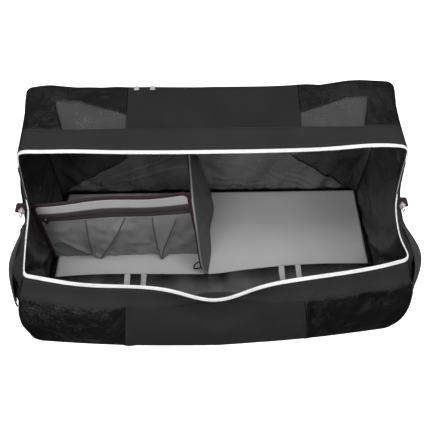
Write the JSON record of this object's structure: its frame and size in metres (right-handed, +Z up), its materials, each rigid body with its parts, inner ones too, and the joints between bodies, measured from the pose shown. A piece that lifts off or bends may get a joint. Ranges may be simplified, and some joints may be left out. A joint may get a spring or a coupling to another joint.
{
  "type": "skate bag",
  "caption": "Large soft holdall for ice skates and pads, unzipped and gaping, with a padded base, a cross divider, a mesh pocket divider, zip pulls and webbing handles.",
  "frame": {"origin": "middle of the underside of the bottom panel, which the bag stands on", "axes": "+X along the bag to its right end, -Y to the slumped front, +Z up"},
  "size_m": [0.9788, 0.5155, 0.42],
  "materials": {
    "coated": "coated nylon, glossy",
    "matte": "matte woven polyester",
    "band": "matte woven polyester, a shade lighter",
    "window": "open mesh",
    "lining": "light grey lining cloth",
    "zip": "white zip tape with moulded coil",
    "binding": "dark maroon binding tape",
    "divider": "grey lining cloth",
    "webbing": "woven webbing",
    "metal": "dark painted zinc",
    "pale": "pale plated zinc"
  },
  "bodies": {
    "shell": {"bottom_panel": "coated", "base_board": "lining", "back_centre_panel": "matte", "back_left_panel": "coated", "back_right_panel": "coated", "back_left_window": "window", "back_right_window": "window", "left_end_panel": "coated", "right_end_panel": "coated", "left_end_band": "band", "right_end_band": "band", "left_end_tape": "zip", "right_end_tape": "zip", "front_centre_panel": "matte", "front_left_panel": "coated", "front_right_panel": "coated", "front_band": "band", "front_zip_tape": "zip", "front_wall": "coated", "front_handle": "webbing", "stitch_tape_1": "lining", "stitch_tape_2": "lining", "stitch_tape_3": "lining", "stitch_tape_4": "lining", "cross_divider": "divider", "divider_binding": "lining", "pocket_mesh": "window", "pocket_zip_band": "webbing", "pocket_strip": "lining", "pocket_binding": "binding", "pocket_back": "coated", "left_zip_slider": "pale", "right_zip_slider": "pale", "left_zip_tab": "binding", "right_zip_tab": "binding", "left_handle_rear": "webbing", "left_handle_front": "webbing", "left_handle_bar": "metal", "right_handle_rear": "webbing", "right_handle_front": "webbing", "right_handle_bar": "metal", "handle_tack_1": "lining", "handle_tack_2": "lining", "handle_tack_3": "lining", "handle_tack_4": "lining"},
    "back_flap": {"top_centre_panel": "matte", "top_left_panel": "coated", "top_right_panel": "coated", "top_left_window": "window", "top_right_window": "window", "back_band": "band", "back_zip_tape": "zip"},
    "left_handle": {"left_handle_strap": "webbing"},
    "right_handle": {"right_handle_strap": "webbing"},
    "back_handle": {"back_handle": "webbing"},
    "left_pull": {"left_zip_pull": "pale"},
    "right_pull": {"right_zip_pull": "pale"},
    "pocket_runner": {"pocket_slider": "metal"},
    "pocket_tag": {"pocket_pull": "metal"},
    "tie_loop": {"tie_loop": "binding"}
  },
  "joints": [
    {"name": "back_flap_sag", "type": "hinge", "parent": "shell", "child": "back_flap", "pos_m": [0, 0.2285, 0.4185], "axis": [1, 0, 0], "range_deg": [0, 25]},
    {"name": "left_handle_swing", "type": "hinge", "parent": "shell", "child": "left_handle", "pos_m": [-0.45, -0.129, 0.177], "axis": [0, -0.6948, -0.7192], "range_deg": [-25, 25]},
    {"name": "right_handle_swing", "type": "hinge", "parent": "shell", "child": "right_handle", "pos_m": [0.45, -0.129, 0.177], "axis": [0, -0.6948, -0.7192], "range_deg": [-25, 25]},
    {"name": "back_handle_swing", "type": "hinge", "parent": "shell", "child": "back_handle", "pos_m": [0, 0.2319, 0.401], "axis": [1, 0, 0], "range_deg": [0, 120]},
    {"name": "left_pull_swing", "type": "hinge", "parent": "shell", "child": "left_pull", "pos_m": [-0.4547, -0.047, 0.2895], "axis": [0, 1, 0], "range_deg": [0, 150]},
    {"name": "right_pull_swing", "type": "hinge", "parent": "shell", "child": "right_pull", "pos_m": [0.4547, -0.047, 0.2895], "axis": [0, -1, 0], "range_deg": [0, 150]},
    {"name": "pocket_zip_slide", "type": "slide", "parent": "shell", "child": "pocket_runner", "axis": [0.9973, 0, 0.074], "range_m": [0, 0.34]},
    {"name": "pocket_tag_swing", "type": "hinge", "parent": "pocket_runner", "child": "pocket_tag", "pos_m": [-0.42267, -0.0086, 0.20097], "axis": [-1, 0, 0], "range_deg": [0, 160]},
    {"name": "tie_loop_swing", "type": "hinge", "parent": "shell", "child": "tie_loop", "pos_m": [-0.01736, -0.049, 0.05], "axis": [0, 1, 0], "range_deg": [0, 110]}
  ]
}
